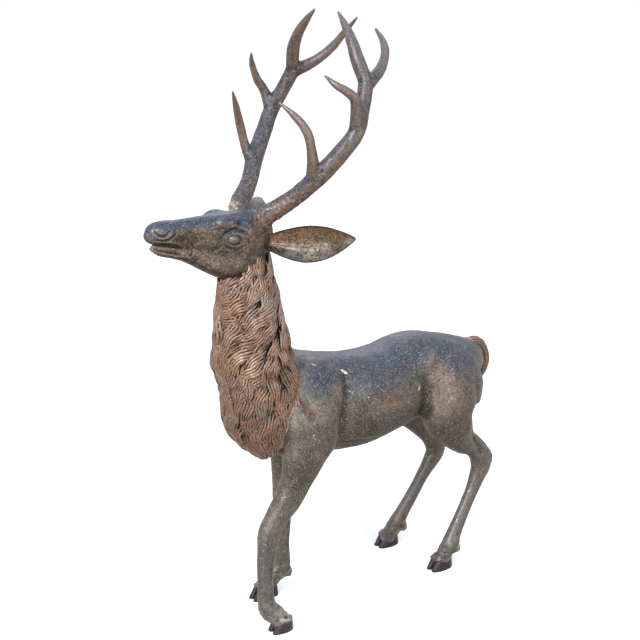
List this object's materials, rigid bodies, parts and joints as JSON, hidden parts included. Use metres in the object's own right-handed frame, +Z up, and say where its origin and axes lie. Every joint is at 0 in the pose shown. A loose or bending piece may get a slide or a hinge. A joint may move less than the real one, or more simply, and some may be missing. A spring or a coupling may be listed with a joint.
{
  "type": "bronze stag sculpture",
  "caption": "Life-like standing stag with raised antlers, a long mane of locks and a short tail, cast in patinated bronze; it stands on its own hooves.",
  "frame": {"origin": "on the ground, under the middle of the stag's box", "axes": "+Z up, -Y the way the stag faces, +X its left side"},
  "size_m": [0.4878, 1.161, 1.6382],
  "materials": {
    "patinated_bronze": "satin, dark brown and slate patina over cast bronze, copper-brown mane"
  },
  "bodies": {
    "root": {"stag": "patinated_bronze"}
  },
  "joints": []
}
